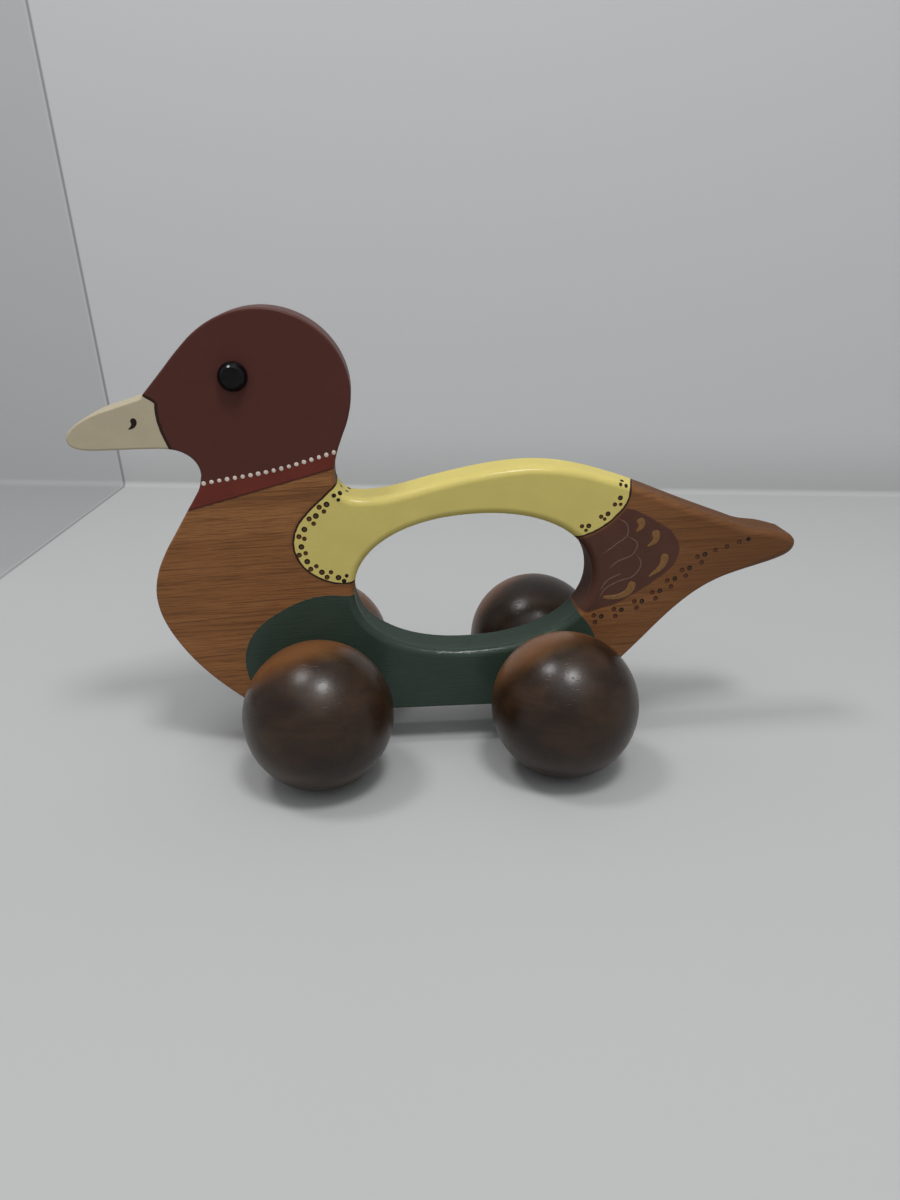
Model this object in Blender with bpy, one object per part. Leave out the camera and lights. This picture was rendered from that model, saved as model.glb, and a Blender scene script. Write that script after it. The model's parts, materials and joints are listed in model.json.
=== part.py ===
"""A push-along wooden duck: one sawn board with a grip hole, two button eyes and four ball wheels on two axles.

Metres, +Z up. The beak points along -X and the duck's left side faces -Y. The origin lies on the floor, on the
board's middle plane, midway between the beak tip and the tail tip.
"""

import math
from typing import NamedTuple

import bmesh
import bpy
from mathutils import Matrix, Vector
from mathutils.geometry import interpolate_bezier

# Board
BOARD_THICKNESS = 0.01905
EASED_EDGE = 0.0009  # sanded edge round the beak, head, breast and belly
TAIL_EDGE = 0.0034  # worn edge round the tail
GRIP_EDGE = 0.0032  # routed edge of the handle and of the grip hole

# Grip hole, a tilted and slightly squared ellipse, with the wood that is left below and above it
GRIP_X = 0.0626
GRIP_LENGTH = 0.0952
GRIP_HEIGHT = 0.0568
GRIP_TILT = math.radians(3.1)
GRIP_SQUARENESS = 2.15  # 2 is a true ellipse
RAIL_DEPTH = 0.0251
HANDLE_DEPTH = 0.0186
HANDLE_CREST_X = 0.0860

# Head, a round sweep from the crown to the back
HEAD_X = -0.0158
HEAD_HEIGHT = 0.1283
HEAD_RISE = 0.0305
HEAD_REACH = 0.0320

# Places on the sawn outline: x behind the front axle, height above the flat belly
BEAK_TIP = (-0.0861, 0.1137)
BEAK_NOSE = (-0.0832, 0.1181)
BEAK_TOP = (-0.0768, 0.1220)
BEAK_ROOT = (-0.0586, 0.1280)
FOREHEAD = (-0.0434, 0.1453)
NAPE = (0.0119, 0.1117)
NECK_BACK = (0.0091, 0.0978)
HANDLE_ROOT = (0.0156, 0.0898)
HANDLE_RISE = (0.0452, 0.0942)
RUMP = (0.1222, 0.0932)
BREAST_LOW = (-0.0350, 0.0108)
BREAST_ROUND = (-0.0507, 0.0274)
BREAST = (-0.0609, 0.0528)
BREAST_HIGH = (-0.0459, 0.0864)
THROAT = (-0.0398, 0.0996)
CHIN = (-0.0512, 0.1095)
BEAK_UNDER = (-0.0780, 0.1094)

# Places on the tail: share of its length behind the rump, height above the flat belly
TAIL_LENGTH = 0.0713
TAIL_SLOPE = (0.337, 0.0840)
TAIL_TOP = (0.715, 0.0742)
TAIL_SHOULDER = (0.959, 0.0707)
TAIL_TIP = (1.0, 0.0668)
TAIL_UNDER = (0.898, 0.0601)
TAIL_CURVE = (0.555, 0.0528)
TAIL_ROOT = (0.318, 0.0410)

# Belly, seen from the axles that pass through it
AXLE_RISE = 0.0118
BELLY_AHEAD = 0.0130  # flat belly in front of the front axle
STERN_BEHIND = 0.0297  # the stern's slope behind the rear axle, at its height above the belly
STERN_HEIGHT = 0.0200

# Axles and ball wheels
WHEELBASE = 0.09525
AXLE_DIAMETER = 0.0095
AXLE_CHAMFER = 0.0008
BALL_DIAMETER = 0.05715
BALL_FLAT_DIAMETER = 0.03175
BALL_BORE_DEPTH = 0.0160
WHEEL_GAP = 0.0009  # side play between the board and a wheel's flat
RUNNING_GAP = 0.0004  # round an axle in the board
GLUE_GAP = 0.0003  # round a glued joint

# Eyes
EYE_DIAMETER = 0.0107
EYE_FACE_DIAMETER = 0.0074
EYE_RIM = 0.0012
EYE_HEIGHT = 0.0040
EYE_STEM_DIAMETER = 0.0060
EYE_WEB = 0.0060  # wood left between the two stem sockets
EYE_AHEAD = 0.0096  # of the crown
EYE_ABOVE = 0.0070  # the head's widest height

# Facets
CURVE_STEP = math.radians(11)
CURVE_STRIDE = 0.012
GRIP_POINTS = 60
EDGE_STEPS = 3
BALL_SEGMENTS = 32
BALL_RINGS = 10  # in a quarter circle
AXLE_SEGMENTS = 32
EYE_SEGMENTS = 28
EYE_STEPS = 4
SHARP_ANGLE = math.radians(35)

QUARTER = math.pi / 2
LEFT, RIGHT = -1, 1

# Worked out from the sizes above
ball_radius = BALL_DIAMETER / 2
flat_offset = math.sqrt(ball_radius**2 - (BALL_FLAT_DIAMETER / 2) ** 2)
flat_y = BOARD_THICKNESS / 2 + WHEEL_GAP
axle_z = ball_radius * math.cos(math.pi / BALL_SEGMENTS)  # each ball stands on a facet
belly_z = axle_z - AXLE_RISE
middle_x = (BEAK_TIP[0] + RUMP[0] + TAIL_LENGTH) / 2
eye_stem_length = BOARD_THICKNESS / 2 - EYE_WEB / 2 - GLUE_GAP


class Anchor(NamedTuple):
    """A place on the outline, the edge's heading there in degrees, and its edge radius."""

    place: tuple
    heading: float
    edge: float = EASED_EDGE
    leaving: float = None  # where the outline has a corner

    @property
    def point(self):
        return Vector(self.place)

    @property
    def arrives(self):
        return unit(self.heading)

    @property
    def leaves(self):
        return unit(self.heading if self.leaving is None else self.leaving)


def unit(degrees):
    return Vector((math.cos(math.radians(degrees)), math.sin(math.radians(degrees))))


def on_tail(place):
    share, height = place
    return RUMP[0] + TAIL_LENGTH * share, height


def outline_anchors():
    """The board's edge from the beak tip over the head to the tail, and back under the belly."""
    crown = (HEAD_X, HEAD_HEIGHT + HEAD_RISE)
    head_back = (HEAD_X + HEAD_REACH, HEAD_HEIGHT)
    handle_crest = (HANDLE_CREST_X, RAIL_DEPTH + GRIP_HEIGHT + HANDLE_DEPTH)
    return [
        Anchor(BEAK_TIP, 90),
        Anchor(BEAK_NOSE, 43),
        Anchor(BEAK_TOP, 26),
        Anchor(BEAK_ROOT, 24, leaving=49),
        Anchor(FOREHEAD, 49),
        Anchor(crown, 0),
        Anchor(head_back, -90),
        Anchor(NAPE, -112),
        Anchor(NECK_BACK, -88, GRIP_EDGE),
        Anchor(HANDLE_ROOT, -9, GRIP_EDGE),
        Anchor(HANDLE_RISE, 13.5, GRIP_EDGE),
        Anchor(handle_crest, 0, GRIP_EDGE),
        Anchor(RUMP, -18.5, GRIP_EDGE),
        Anchor(on_tail(TAIL_SLOPE), -21, TAIL_EDGE),
        Anchor(on_tail(TAIL_TOP), -19, TAIL_EDGE),
        Anchor(on_tail(TAIL_SHOULDER), -33, TAIL_EDGE),
        Anchor(on_tail(TAIL_TIP), -90, TAIL_EDGE),
        Anchor(on_tail(TAIL_UNDER), -160, TAIL_EDGE),
        Anchor(on_tail(TAIL_CURVE), -156),
        Anchor(on_tail(TAIL_ROOT), -137),
        Anchor((WHEELBASE + STERN_BEHIND, STERN_HEIGHT), -135),
        Anchor((WHEELBASE, 0), 180),
        Anchor((-BELLY_AHEAD, 0), 180),
        Anchor(BREAST_LOW, 139),
        Anchor(BREAST_ROUND, 125),
        Anchor(BREAST, 90),
        Anchor(BREAST_HIGH, 61),
        Anchor(THROAT, 90),
        Anchor(CHIN, 177),
        Anchor(BEAK_UNDER, 179),
    ]


def curve_between(start, end):
    """Points from one anchor up to the next on a cubic that is a true arc where both lie on one circle."""
    turn = start.leaves.angle(end.arrives)
    chord = (end.point - start.point).length
    reach = chord / (3 * math.cos(turn / 4) ** 2)
    steps = max(2, math.ceil(turn / CURVE_STEP), math.ceil(chord / CURVE_STRIDE))
    handles = start.point + reach * start.leaves, end.point - reach * end.arrives
    points = interpolate_bezier(start.point, *handles, end.point, steps + 1)
    for step, point in enumerate(points[:-1]):
        share = step / steps
        eased = share * share * (3 - 2 * share)
        yield point, start.edge + (end.edge - start.edge) * eased


def outline_loop():
    anchors = outline_anchors()
    return [
        pair
        for start, end in zip(anchors, anchors[1:] + anchors[:1])
        for pair in curve_between(start, end)
    ]


def squared(part):
    return math.copysign(abs(part) ** (2 / GRIP_SQUARENESS), part)


def grip_loop():
    """The grip hole's edge, run the other way round, so that the wood stays on the right."""
    centre = Vector((GRIP_X, RAIL_DEPTH + GRIP_HEIGHT / 2))
    tilt = Matrix.Rotation(GRIP_TILT, 2)
    loop = []
    for step in range(GRIP_POINTS):
        angle = math.tau * step / GRIP_POINTS
        across, up = (squared(part) for part in (math.cos(angle), math.sin(angle)))
        spoke = Vector((GRIP_LENGTH / 2 * across, GRIP_HEIGHT / 2 * up))
        loop.append((centre + tilt @ spoke, GRIP_EDGE))
    return loop


def edge_rings(bm, loop):
    """Rings of vertices across the board's thickness along one loop, rounded over at both faces."""
    points = [point for point, _ in loop]
    sections = []
    for index, (point, edge) in enumerate(loop):
        along = points[(index + 1) % len(loop)] - points[index - 1]
        inward = Vector((along.y, -along.x)).normalized()
        half = []
        for step in range(EDGE_STEPS + 1):
            angle = QUARTER * step / EDGE_STEPS
            inset = point + inward * edge * (1 - math.cos(angle))
            half.append((inset, BOARD_THICKNESS / 2 - edge * (1 - math.sin(angle))))
        left = [bm.verts.new((p.x, -y, p.y)) for p, y in reversed(half)]
        right = [bm.verts.new((p.x, y, p.y)) for p, y in half]
        sections.append(left + right)
    rings = list(zip(*sections))
    for ring, following in zip(rings, rings[1:]):
        for index in range(len(ring)):
            bm.faces.new((ring[index - 1], ring[index], following[index], following[index - 1]))
    return rings[0], rings[-1]


def board_mesh():
    bm = bmesh.new()
    rims = [edge_rings(bm, loop) for loop in (outline_loop(), grip_loop())]
    for face_rims in zip(*rims):
        edges = [bm.edges.get((rim[i - 1], rim[i])) for rim in face_rims for i in range(len(rim))]
        bmesh.ops.triangle_fill(bm, edges=edges, use_beauty=True)
    return finished(bm, "duck_body")


def turned_mesh(name, profile, segments):
    """A profile of (radius, y) from axis to axis, spun about Y with a facet straight below the axis."""
    bm = bmesh.new()
    start = Matrix.Rotation(math.pi / segments, 3, "Y")
    verts = [bm.verts.new(start @ Vector((0, y, -radius))) for radius, y in profile]
    edges = [bm.edges.new(pair) for pair in zip(verts, verts[1:])]
    bmesh.ops.spin(
        bm, geom=verts + edges, cent=(0, 0, 0), axis=(0, 1, 0), angle=math.tau, steps=segments, use_merge=True
    )
    bmesh.ops.remove_doubles(bm, verts=bm.verts, dist=GLUE_GAP / 100)
    return finished(bm, name)


def finished(bm, name):
    bmesh.ops.recalc_face_normals(bm, faces=bm.faces)
    mesh = bpy.data.meshes.new(name)
    bm.to_mesh(mesh)
    bm.free()
    mesh.shade_smooth()
    mesh.set_sharp_from_angle(angle=SHARP_ANGLE)
    return mesh


def ball_profile():
    """From the bottom of the blind bore round the flat and the sphere to the outer pole, y = 0 at the centre."""
    bore = AXLE_DIAMETER / 2 + GLUE_GAP
    bore_end = BALL_BORE_DEPTH - flat_offset
    profile = [(0, bore_end), (bore, bore_end), (bore, -flat_offset)]
    first = math.asin(BALL_FLAT_DIAMETER / BALL_DIAMETER)
    inner_steps = math.ceil(BALL_RINGS * (1 - first / QUARTER))
    inner = [first + (QUARTER - first) * step / inner_steps for step in range(inner_steps)]
    outer = [QUARTER + QUARTER * step / BALL_RINGS for step in range(BALL_RINGS)]
    profile += [(ball_radius * math.sin(a), -ball_radius * math.cos(a)) for a in inner + outer]
    return profile + [(0, ball_radius)]


def axle_profile():
    end = flat_y + BALL_BORE_DEPTH - GLUE_GAP
    radius = AXLE_DIAMETER / 2
    half = [(radius, end - AXLE_CHAMFER), (radius - AXLE_CHAMFER, end), (0, end)]
    return [(r, -y) for r, y in reversed(half)] + half


def eye_profile():
    """From the stem's end to the middle of the flat face, y = 0 on the board's face."""
    stem = EYE_STEM_DIAMETER / 2
    face = EYE_FACE_DIAMETER / 2
    rim = EYE_DIAMETER / 2
    profile = [(0, -eye_stem_length), (stem, -eye_stem_length), (stem, GLUE_GAP), (rim, GLUE_GAP)]
    for step in range(EYE_STEPS + 1):
        angle = QUARTER * step / EYE_STEPS
        radius = face + (rim - face) * math.cos(angle)
        profile.append((radius, EYE_RIM + (EYE_HEIGHT - EYE_RIM) * math.sin(angle)))
    return profile + [(0, EYE_HEIGHT)]


def material(name, colour, roughness):
    made = bpy.data.materials.new(name)
    made.use_nodes = True
    shader = made.node_tree.nodes["Principled BSDF"]
    shader.inputs["Base Color"].default_value = (*colour, 1)
    shader.inputs["Roughness"].default_value = roughness
    return made


def placed(name, mesh, location, parent=None, side=RIGHT):
    """A new object, turned half round on its upright axis where it belongs on the left side."""
    obj = bpy.data.objects.new(name, mesh)
    obj.location = location
    obj.rotation_euler.z = 0 if side == RIGHT else math.pi
    obj.parent = parent
    bpy.context.scene.collection.objects.link(obj)
    return obj


def drill(body, name, radius, near_y, far_y, place):
    """Cuts a round hole along Y through the body's own place (x, height)."""
    profile = [(0, near_y), (radius, near_y), (radius, far_y), (0, far_y)]
    cutter = placed(name, turned_mesh(name, profile, AXLE_SEGMENTS), (place[0], 0, place[1]), body)
    cutter.hide_render = True
    cutter.display_type = "WIRE"
    cut = body.modifiers.new(name, "BOOLEAN")
    cut.operation = "DIFFERENCE"
    cut.solver = "EXACT"
    cut.object = cutter


def make_body():
    mesh = board_mesh()
    mesh.materials.append(material("varnished_wood", (0.27, 0.13, 0.06), 0.4))
    body = placed("duck_body", mesh, (-middle_x, 0, belly_z))
    face = BOARD_THICKNESS / 2
    bore = AXLE_DIAMETER / 2 + RUNNING_GAP
    for name, x in (("front_axle_bore", 0), ("rear_axle_bore", WHEELBASE)):
        drill(body, name, bore, -BOARD_THICKNESS, BOARD_THICKNESS, (x, AXLE_RISE))
    eye = (HEAD_X - EYE_AHEAD, HEAD_HEIGHT + EYE_ABOVE)
    socket = EYE_STEM_DIAMETER / 2 + GLUE_GAP
    eye_mesh = turned_mesh("eye", eye_profile(), EYE_SEGMENTS)
    eye_mesh.materials.append(material("black_lacquer", (0.01, 0.01, 0.012), 0.2))
    for name, side in (("left_eye", LEFT), ("right_eye", RIGHT)):
        drill(body, f"{name}_socket", socket, side * EYE_WEB / 2, side * BOARD_THICKNESS, eye)
        placed(name, eye_mesh, (eye[0], side * face, eye[1]), body, side)


def make_wheelset(end, x):
    """An axle with a ball glued on each end, turning together about the axle's own empty."""
    wheelset = placed(f"{end}_wheelset", None, (x - middle_x, 0, axle_z))
    axle = turned_mesh(f"{end}_axle", axle_profile(), AXLE_SEGMENTS)
    axle.materials.append(material(f"{end}_axle_dowel", (0.45, 0.29, 0.16), 0.6))
    placed(f"{end}_axle", axle, (0, 0, 0), wheelset)
    ball = turned_mesh(f"{end}_ball", ball_profile(), BALL_SEGMENTS)
    ball.materials.append(material(f"{end}_walnut_stain", (0.05, 0.03, 0.022), 0.35))
    for name, side in (("left", LEFT), ("right", RIGHT)):
        place = (0, side * (flat_y + flat_offset), 0)
        placed(f"{end}_{name}_wheel", ball, place, wheelset, side)


def main():
    for obj in list(bpy.data.objects):
        bpy.data.objects.remove(obj)
    make_body()
    make_wheelset("front", 0)
    make_wheelset("rear", WHEELBASE)


main()
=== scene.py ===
"""Looks of the push-along wooden duck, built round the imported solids.

The board is meshed again from its own outline, with burnt dots sunk into its faces and the painted areas
stored on its points as distances. The balls and eyes are turned again with finer facets. The collar's dots,
the comma strokes, the nostrils, the feather lines and the dots on the board's rounded edge are raised paint.
Metres, in the frame of the solids: the beak along -X, the duck's left side at -Y, +Z up.
"""

import json
import math
from itertools import combinations

import bmesh
import bpy
import numpy as np
from mathutils import Euler, Matrix, Vector
from mathutils.bvhtree import BVHTree
from mathutils.geometry import delaunay_2d_cdt, interpolate_bezier


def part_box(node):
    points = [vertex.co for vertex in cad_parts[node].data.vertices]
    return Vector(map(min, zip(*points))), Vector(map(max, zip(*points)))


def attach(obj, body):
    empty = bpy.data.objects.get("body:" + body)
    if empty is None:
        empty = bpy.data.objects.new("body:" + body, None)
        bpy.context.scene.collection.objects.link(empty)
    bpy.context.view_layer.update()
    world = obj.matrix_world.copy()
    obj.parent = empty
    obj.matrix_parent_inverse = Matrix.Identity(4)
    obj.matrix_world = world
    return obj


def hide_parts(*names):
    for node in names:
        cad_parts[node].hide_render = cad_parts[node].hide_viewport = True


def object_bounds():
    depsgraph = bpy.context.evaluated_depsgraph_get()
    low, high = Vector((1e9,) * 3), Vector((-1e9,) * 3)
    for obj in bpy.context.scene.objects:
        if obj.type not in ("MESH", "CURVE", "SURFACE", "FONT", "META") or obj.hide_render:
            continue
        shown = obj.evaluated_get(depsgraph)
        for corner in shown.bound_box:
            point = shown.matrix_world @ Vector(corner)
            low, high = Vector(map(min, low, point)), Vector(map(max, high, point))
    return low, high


# Camera and stage, x behind the front axle
CAMERA_PLACE = (0.0195, -0.3477, 0.1945)
CAMERA_PITCH = math.radians(21.0)  # down
CAMERA_YAW = math.radians(5.58)  # towards the tail
CAMERA_ROLL = math.radians(0.16)
CAMERA_LENS = 27.44  # millimetres, on 36 along the picture's long side
CAMERA_NEAR = 0.01
FLOOR_WIDTH = 4.0
FLOOR_FRONT = -2.0
WALL_BACK = 0.434  # along Y at the front axle
WALL_TURN = math.radians(7.9)  # nearer towards the tail
WALL_FOOT = (-0.015, 0.060)  # heights between which the wall pales
COVE_RADIUS = 0.005
COVE_STEPS = 10
WALL_HEIGHT = 2.2
# Painted shade past a fold in the paper on the left: beyond it the floor and the wall take the darker greys
# of a shaded side panel
FOLD_WAY = (-1.0, 0.091, -0.075)  # across a fold in the paper on the left
FOLD_PLACE = 0.230  # along that way from the front axle
FOLD_FADE = (0.12, 0.26)  # it starts between these, along Y
FOLD_EDGE = (-0.001, 0.004)  # across it
# Painted shadow along the fold's line
FOLD_SHADOW_EDGE = (0.0004, 0.0018)  # from its line

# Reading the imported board's walls
LEVEL_NORMAL = 1e-3  # a wall's normal has less than this along Y
DETOUR = 2e-8  # a rail this near to the line between two others parts them

# Fineness of the meshes
RIM_SPACING = 0.0009
RIM_STEPS = 6
FACE_SPACING = 0.0020
LINE_SPACING = 0.0008
CURVE_SPACING = 0.0006
CORNER_TURN = math.radians(18)
STRAIGHT_CHORD = 0.020
BORE_EDGE = 0.0003
LEAST_STEP = 1e-18  # squared length of a curve's step
TRIANGLE_GAP = 1e-9
MERGE_GAP = 1e-6
SHARP_TURN = math.radians(35)
BALL_SEGMENTS = 96
BALL_STEPS = 40
EYE_SEGMENTS = 64
EYE_STEPS = 6
EYE_BEVEL = 0.31  # share of the radius
EYE_SHOULDER = 0.30  # share of the height
EYE_ROUNDING = (1.4, 0.8)  # powers of the bevel's way in and up
EYE_SINK = 0.0002  # into the board

# Painted areas on the board's faces: x behind the front axle, height above the floor.
# Their curves run on past the board's edge and into the grip hole
BEAK_BROW = [(-0.0669, 0.1500), (-0.0578, 0.1454), (-0.0537, 0.1428)]
BEAK_CHEEK = [
    (-0.0537, 0.1428), (-0.0538, 0.1390), (-0.0524, 0.1319), (-0.0500, 0.1258), (-0.0474, 0.1205),
]
BEAK_BEYOND = [(-0.1070, 0.1150), (-0.1070, 0.1600)]
COLLAR = [(-0.0569, 0.1098), (-0.0390, 0.1133), (-0.0118, 0.1180), (0.0099, 0.1242), (0.0231, 0.1282)]
BAND_EDGE = [(-0.0619, 0.0988), (-0.0450, 0.1032), (-0.0102, 0.1126), (0.0081, 0.1177), (0.0231, 0.1220)]
HEAD_BEYOND = [(0.0631, 0.2000), (-0.1170, 0.2000), (-0.1170, 0.1050)]
YELLOW_FRONT = [
    (0.0111, 0.1127), (0.0037, 0.1059), (-0.0021, 0.1003), (-0.0062, 0.0942), (-0.0072, 0.0869),
    (-0.0042, 0.0801), (0.0023, 0.0749), (0.0086, 0.0728), (0.0147, 0.0731), (0.0231, 0.0750),
]
YELLOW_REAR = [
    (0.0931, 0.0880), (0.1020, 0.0889), (0.1091, 0.0912), (0.1167, 0.0964), (0.1221, 0.1040),
    (0.1224, 0.1100), (0.1211, 0.1200),
]
YELLOW_BEYOND = [(0.1191, 0.1300), (0.0281, 0.1300)]
YELLOW_LEAN = 0.30  # the rear border runs aft as it crosses the handle
GREEN_FRONT = [
    (0.0231, 0.0668), (0.0122, 0.0672), (0.0028, 0.0675), (-0.0133, 0.0620), (-0.0266, 0.0503),
    (-0.0293, 0.0395), (-0.0279, 0.0324), (-0.0214, 0.0235), (-0.0069, 0.0080),
]
GREEN_REAR = [
    (0.0981, 0.0050), (0.1121, 0.0200), (0.1148, 0.0340), (0.1110, 0.0489), (0.1034, 0.0586),
    (0.0985, 0.0640), (0.0940, 0.0690),
]
WING = [
    (0.0931, 0.0820), (0.1051, 0.0960), (0.1223, 0.1000), (0.1335, 0.0950), (0.1422, 0.0886),
    (0.1448, 0.0825), (0.1433, 0.0773), (0.1341, 0.0686), (0.1258, 0.0633), (0.1207, 0.0604),
    (0.1137, 0.0582), (0.1074, 0.0570), (0.1027, 0.0607), (0.0976, 0.0662),
]
BORDER_WOBBLE = 0.00012
GROOVE_WIDTH = 0.0008  # burnt outside the yellow's border
HALO_WIDTH = 0.0012
BEAK_LINE = 0.0011
BAND_LINE = 0.0009
WALL_START = 0.0035  # in from the faces

# Raised white dots along the collar
NECK_DOTS = 19
NECK_DOT_ENDS = (0.186, 0.823)  # shares of the collar's curve
NECK_DOT_RADIUS = 0.00085
DOT_RISE = 0.00022
DOT_SEGMENTS = 14
DOT_PROFILE = ((1.0, -0.7), (0.97, 0.35), (0.82, 0.86), (0.55, 1.0))  # shares outward and up
DOT_SIZES = (0.92, 1.08)
DOT_SQUASHES = (0.94, 1.06)
PAINT_SEED = 7

# Dots burnt into the board, in clusters of a dark one and two rusty ones
BURN_DEPTH = 0.00025
BURN_SEGMENTS = 14
BURN_RINGS = (1.0, 0.7, 0.4)  # shares of a dot's radius
BURN_CLEAR = 0.0003
FRONT_CLUSTERS = [
    ((0.0108, 0.1083), (0.0085, 0.1077), (0.0101, 0.1060)),
    ((0.0056, 0.1043), (0.0028, 0.1033), (0.0045, 0.1016)),
    ((0.0014, 0.0999), (-0.0012, 0.0988), (0.0004, 0.0969)),
    ((-0.0032, 0.0947), (-0.0054, 0.0919), (-0.0034, 0.0910)),
    ((-0.0047, 0.0878), (-0.0057, 0.0845), (-0.0032, 0.0852)),
    ((-0.0028, 0.0818), (-0.0016, 0.0787), (0.0006, 0.0798)),
    ((0.0026, 0.0773), (0.0045, 0.0752), (0.0061, 0.0772)),
    ((0.0089, 0.0749), (0.0110, 0.0735), (0.0121, 0.0756)),
]
FRONT_DOT_RADII = (0.00120, 0.00109, 0.00097)
REAR_CLUSTERS = [
    ((0.1071, 0.0933), (0.1044, 0.0932), (0.1061, 0.0915)),
    ((0.1145, 0.0980), (0.1118, 0.0969), (0.1133, 0.0959)),
    ((0.1190, 0.1043), (0.1170, 0.1017), (0.1193, 0.1017)),
]
REAR_DOT_RADII = (0.00107, 0.00095, 0.00080)
EDGE_DOTS = [
    (0.0112, 0.1113), (0.0133, 0.1093), (0.0141, 0.1104),
    (0.1198, 0.1111), (0.1189, 0.1097), (0.1211, 0.1091),
]
EDGE_DOT_RADIUS = 0.00080
RAISED_SHARE = 0.82  # of a sunk dot's radius
EDGE_DOT_RISE = 0.00014
EDGE_SLANT = 0.25  # fall of the line of sight along which the edge dots were measured
TAIL_SINGLES = [(0.1728, 0.0862), (0.1691, 0.0850), (0.1642, 0.0832), (0.1596, 0.0819)]
TAIL_TRIPLES = [
    (0.1554, 0.0802), (0.1496, 0.0746), (0.1439, 0.0702), (0.1381, 0.0651),
    (0.1310, 0.0609), (0.1227, 0.0574), (0.1145, 0.0548),
]
TRIPLE_DOTS = ((0, 0), (0.0028, -0.0014), (0.0031, 0.0017))  # along the tail and aside, from the dark dot
TAIL_DOT_RADIUS = 0.00106

# Comma strokes as (centre line from the head, half width, share lost by the tail), and feather lines
WING_STROKES = [
    ([(0.1270, 0.0958), (0.1284, 0.0931), (0.1263, 0.0904)], 0.00165, 0.85),
    ([(0.1341, 0.0909), (0.1345, 0.0868), (0.1313, 0.0841)], 0.00165, 0.85),
    ([(0.1390, 0.0810), (0.1384, 0.0766), (0.1329, 0.0712)], 0.00170, 0.85),
    ([(0.1268, 0.0695), (0.1249, 0.0651), (0.1209, 0.0632), (0.1147, 0.0630)], 0.00165, 0.60),
]
NOSTRIL = (
    [(-0.0622, 0.1375), (-0.0615, 0.1361), (-0.0620, 0.1348), (-0.0638, 0.1336)], 0.00112, 0.97,
)
FEATHERS = [
    [(0.1184, 0.0962), (0.1224, 0.0935), (0.1229, 0.0892), (0.1193, 0.0860), (0.1135, 0.0815)],
    [(0.1231, 0.0887), (0.1272, 0.0853), (0.1261, 0.0816), (0.1194, 0.0780), (0.1162, 0.0752)],
    [(0.1187, 0.0793), (0.1150, 0.0775), (0.1091, 0.0779)],
    [
        (0.1269, 0.0814), (0.1293, 0.0773), (0.1268, 0.0721), (0.1204, 0.0697), (0.1149, 0.0662),
        (0.1129, 0.0620),
    ],
    [(0.1216, 0.0731), (0.1159, 0.0701), (0.1133, 0.0663)],
]
STROKE_RISE = 0.00014
STROKE_STEPS = 26
STROKE_SIDES = 14
STROKE_START = 0.06  # the first step's share, before the crowding
STROKE_CROWDING = 1.6  # power that sets the steps closer at the head
STROKE_TAPER = 1.3  # power of the tail's loss of width
FEATHER_WIDTH = 0.00026
FEATHER_TIP = 0.15  # share of the width left at each end
FEATHER_TAPER = 8  # widths gained per length of line, from each end
FEATHER_RISE = 0.00007
FEATHER_STEPS = 34

# Each ball is paler on one side, set towards the upper rim that the camera sees; the pale cap begins between
# two distances from its centre along the ball's way
PALE_CAP_WAYS = {
    "front_left": (-0.35, 0.55, 0.76), "front_right": (0.62, 0.30, 0.72),
    "rear_left": (-0.42, 0.63, 0.65), "rear_right": (-0.62, 0.70, 0.35),
}
PALE_CAP_START = 0.0115
PALE_CAP_END = 0.0225
PALE_CAP_WOBBLE = 0.001

# Colours in linear light
WOOD_LIGHT = (0.268, 0.115, 0.039)
WOOD_DARK = (0.205, 0.084, 0.028)
WOOD_LINE = (0.085, 0.031, 0.010)
WOOD_PORE = (0.105, 0.040, 0.013)
WOOD_TAIL = (0.099, 0.039, 0.0125)
WOOD_WALL = (0.085, 0.034, 0.012)
HALO = (0.165, 0.062, 0.018)
MAROON = (0.075, 0.021, 0.015)
BAND_RED = (0.132, 0.023, 0.014)
CREAM = (0.424, 0.370, 0.257)
YELLOW = (0.565, 0.475, 0.140)
GREEN = (0.033, 0.052, 0.039)
PLUM = (0.078, 0.031, 0.020)
BURNT = (0.014, 0.007, 0.005)
BURNT_PIT = (0.080, 0.044, 0.017)
RUST = (0.056, 0.017, 0.008)
RUST_PIT = (0.098, 0.043, 0.016)
OCHRE = (0.205, 0.100, 0.035)
FEATHER_PINK = (0.150, 0.082, 0.064)
WHITE = (0.620, 0.540, 0.480)
WALNUT_DARK = (0.0150, 0.0075, 0.0040)
WALNUT_LIGHT = (0.036, 0.0180, 0.0088)
PALE_CAP = (0.140, 0.058, 0.021)
LACQUER = (0.0020, 0.0020, 0.0025)
LACQUER_DULL = (0.0040, 0.0035, 0.0045)
DOWEL_LIGHT = (0.500, 0.340, 0.190)
DOWEL_DARK = (0.330, 0.200, 0.100)
FLOOR_GREY = (0.392, 0.396, 0.393)
WALL_GREY = (0.492, 0.496, 0.501)
# Painted shade: darker greys of a shaded side panel, laid on the floor and the wall past the left fold
SHADED_PANEL_WALL = (0.405, 0.409, 0.415)
SHADED_PANEL_FLOOR = (0.292, 0.296, 0.300)
# Painted shadow along the left fold
FOLD_SHADOW = (0.150, 0.150, 0.155)

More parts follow.
